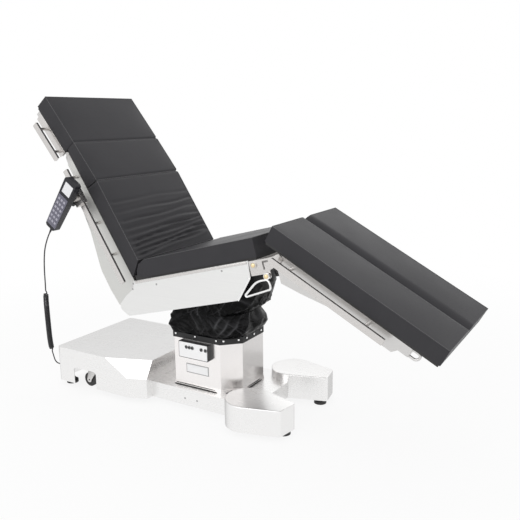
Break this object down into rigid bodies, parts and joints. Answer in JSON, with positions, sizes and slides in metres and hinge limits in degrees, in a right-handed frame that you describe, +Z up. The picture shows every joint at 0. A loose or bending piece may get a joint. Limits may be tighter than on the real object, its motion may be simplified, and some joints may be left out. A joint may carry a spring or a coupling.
{
  "type": "operating table",
  "caption": "Operating table with a lifting, tilting column, a hinged back in sections, a split hinged leg end, side rails, castors and a corded hand control.",
  "frame": {"origin": "on the floor under the middle of the table's outline, the hand control's cord left out", "axes": "+Z up, +X along the table towards the leg end, -Y towards the side with the hand control"},
  "size_m": [1.8677, 0.675, 1.3147],
  "materials": {
    "stainless": "brushed",
    "pale_panel": "satin",
    "rail_steel": "satin",
    "frame_steel": "satin",
    "chassis_steel": "satin",
    "bright_wire": "polished",
    "cushion": "matte coated cloth",
    "sleeve": "coated cloth",
    "dark_plastic": "matte",
    "button": "matte",
    "handset": "matte",
    "cord": "matte",
    "foot_rubber": "matte",
    "fork_steel": "satin",
    "wheel": "matte"
  },
  "bodies": {
    "base": {"base_chassis": "chassis_steel", "base_cover": "stainless", "centre_cover": "stainless", "foot_cover_left": "stainless", "foot_cover_right": "stainless", "column_shroud": "stainless", "column_outer_tube": "chassis_steel", "hem_band": "sleeve", "bellows": "sleeve", "control_housing": "dark_plastic", "control_face": "stainless", "cord_gland": "dark_plastic", "cord_tail": "cord", "cord_coil": "cord", "handset_cord": "cord"},
    "feet": {"floor_feet": "foot_rubber"},
    "column_middle": {"column_middle_tube": "chassis_steel"},
    "lift": {"column_inner_tube": "chassis_steel", "tilt_yoke": "chassis_steel"},
    "cross": {"tilt_cross": "chassis_steel"},
    "seat": {"seat_frame": "frame_steel", "seat_cover_left": "pale_panel", "seat_cover_right": "pale_panel", "leg_hinge_shaft": "rail_steel", "leg_brackets": "rail_steel", "seat_pad": "cushion", "seat_skirt": "sleeve"},
    "lower_back": {"lower_back_frame": "frame_steel", "back_wings": "pale_panel", "lower_back_rails": "rail_steel", "back_pad_lower": "cushion", "back_pad_middle": "cushion", "rail_clamp": "rail_steel"},
    "upper_back": {"upper_back_frame": "frame_steel", "upper_back_rails": "rail_steel", "back_pad_upper": "cushion"},
    "knob": {"clamp_knob": "dark_plastic"},
    "handset": {"handset_body": "handset", "cord_relief": "dark_plastic"},
    "castor_head_right": {"castor_fork_head_right": "fork_steel"},
    "wheel_head_right": {"castor_wheel_head_right": "wheel"},
    "castor_head_left": {"castor_fork_head_left": "fork_steel"},
    "wheel_head_left": {"castor_wheel_head_left": "wheel"},
    "castor_foot_right": {"castor_fork_foot_right": "fork_steel"},
    "wheel_foot_right": {"castor_wheel_foot_right": "wheel"},
    "castor_foot_left": {"castor_fork_foot_left": "fork_steel"},
    "wheel_foot_left": {"castor_wheel_foot_left": "wheel"},
    "leg_right": {"leg_frame_right": "frame_steel", "leg_rail_right": "rail_steel", "leg_pad_right": "cushion"},
    "lever_right": {"release_lever_right": "bright_wire"},
    "leg_left": {"leg_frame_left": "frame_steel", "leg_rail_left": "rail_steel", "leg_pad_left": "cushion"},
    "lever_left": {"release_lever_left": "bright_wire"},
    "button_1": {"control_button_1": "button"},
    "button_2": {"control_button_2": "button"},
    "button_3": {"control_button_3": "button"},
    "button_4": {"control_button_4": "button"},
    "button_5": {"control_button_5": "button"}
  },
  "joints": [
    {"name": "feet_lift", "type": "slide", "parent": "base", "child": "feet", "axis": [0, 0, 1], "range_m": [0, 0.008]},
    {"name": "column_stage", "type": "slide", "parent": "base", "child": "column_middle", "axis": [0, 0, 1], "range_m": [0, 0.15]},
    {"name": "column_lift", "type": "slide", "parent": "base", "child": "lift", "axis": [0, 0, 1], "range_m": [0, 0.3], "deforming": ["bellows"]},
    {"name": "end_tilt", "type": "hinge", "parent": "lift", "child": "cross", "pos_m": [-0.1398, 0.0275, 0.53], "axis": [0, 1, 0], "range_deg": [-10, 20], "deforming": ["seat_skirt"]},
    {"name": "side_tilt", "type": "hinge", "parent": "cross", "child": "seat", "pos_m": [-0.1398, 0.0275, 0.53], "axis": [0.9677, 0, 0.2521], "range_deg": [-15, 15]},
    {"name": "back_hinge", "type": "hinge", "parent": "seat", "child": "lower_back", "pos_m": [-0.40283, 0.0275, 0.53965], "axis": [0, -1, 0], "range_deg": [0, 80], "deforming": ["handset_cord", "cord_coil"]},
    {"name": "neck_hinge", "type": "hinge", "parent": "lower_back", "child": "upper_back", "pos_m": [-0.73744, 0.0275, 1.06101], "axis": [0, -1, 0], "range_deg": [0, 40]},
    {"name": "knob_turn", "type": "hinge", "parent": "lower_back", "child": "knob", "pos_m": [-0.65561, -0.2845, 0.88425], "axis": [0.8425, 0, 0.5388], "continuous": true},
    {"name": "handset_lift", "type": "slide", "parent": "lower_back", "child": "handset", "axis": [0.5878, 0, 0.809], "range_m": [0, 0.03]},
    {"name": "swivel_head_right", "type": "hinge", "parent": "base", "child": "castor_head_right", "pos_m": [-0.7338, -0.1625, 0], "axis": [0, 0, 1], "continuous": true},
    {"name": "roll_head_right", "type": "hinge", "parent": "castor_head_right", "child": "wheel_head_right", "pos_m": [-0.7558, -0.1625, 0.033], "axis": [0, 1, 0], "continuous": true},
    {"name": "swivel_head_left", "type": "hinge", "parent": "base", "child": "castor_head_left", "pos_m": [-0.7338, 0.2175, 0], "axis": [0, 0, 1], "continuous": true},
    {"name": "roll_head_left", "type": "hinge", "parent": "castor_head_left", "child": "wheel_head_left", "pos_m": [-0.7558, 0.2175, 0.033], "axis": [0, 1, 0], "continuous": true},
    {"name": "swivel_foot_right", "type": "hinge", "parent": "base", "child": "castor_foot_right", "pos_m": [0.1102, -0.1625, 0], "axis": [0, 0, 1], "continuous": true},
    {"name": "roll_foot_right", "type": "hinge", "parent": "castor_foot_right", "child": "wheel_foot_right", "pos_m": [0.0882, -0.1625, 0.033], "axis": [0, 1, 0], "continuous": true},
    {"name": "swivel_foot_left", "type": "hinge", "parent": "base", "child": "castor_foot_left", "pos_m": [0.1102, 0.2175, 0], "axis": [0, 0, 1], "continuous": true},
    {"name": "roll_foot_left", "type": "hinge", "parent": "castor_foot_left", "child": "wheel_foot_left", "pos_m": [0.0882, 0.2175, 0.033], "axis": [0, 1, 0], "continuous": true},
    {"name": "leg_hinge_right", "type": "hinge", "parent": "seat", "child": "leg_right", "pos_m": [0.28778, 0.0275, 0.72884], "axis": [0, 1, 0], "range_deg": [-35, 45]},
    {"name": "lever_pull_right", "type": "hinge", "parent": "seat", "child": "lever_right", "pos_m": [0.2472, 0.0275, 0.66247], "axis": [0, 1, 0], "range_deg": [0, 15], "stiffness_Nm_per_rad": 0.6, "springref_deg": -11.46},
    {"name": "leg_hinge_left", "type": "hinge", "parent": "seat", "child": "leg_left", "pos_m": [0.28778, 0.0275, 0.72884], "axis": [0, 1, 0], "range_deg": [-35, 45]},
    {"name": "lever_pull_left", "type": "hinge", "parent": "seat", "child": "lever_left", "pos_m": [0.2472, 0.0275, 0.66247], "axis": [0, 1, 0], "range_deg": [0, 15], "stiffness_Nm_per_rad": 0.6, "springref_deg": -11.46},
    {"name": "button_press_1", "type": "slide", "parent": "base", "child": "button_1", "axis": [0, 1, 0], "range_m": [0, 0.0015], "stiffness_N_per_m": 800, "springref_m": -0.0005},
    {"name": "button_press_2", "type": "slide", "parent": "base", "child": "button_2", "axis": [0, 1, 0], "range_m": [0, 0.0015], "stiffness_N_per_m": 800, "springref_m": -0.0005},
    {"name": "button_press_3", "type": "slide", "parent": "base", "child": "button_3", "axis": [0, 1, 0], "range_m": [0, 0.0015], "stiffness_N_per_m": 800, "springref_m": -0.0005},
    {"name": "button_press_4", "type": "slide", "parent": "base", "child": "button_4", "axis": [0, 1, 0], "range_m": [0, 0.0015], "stiffness_N_per_m": 800, "springref_m": -0.0005},
    {"name": "button_press_5", "type": "slide", "parent": "base", "child": "button_5", "axis": [0, 1, 0], "range_m": [0, 0.0015], "stiffness_N_per_m": 800, "springref_m": -0.0005}
  ],
  "couplings": [
    {"joint": "column_stage", "follows": "column_lift", "ratio": 0.5}
  ]
}
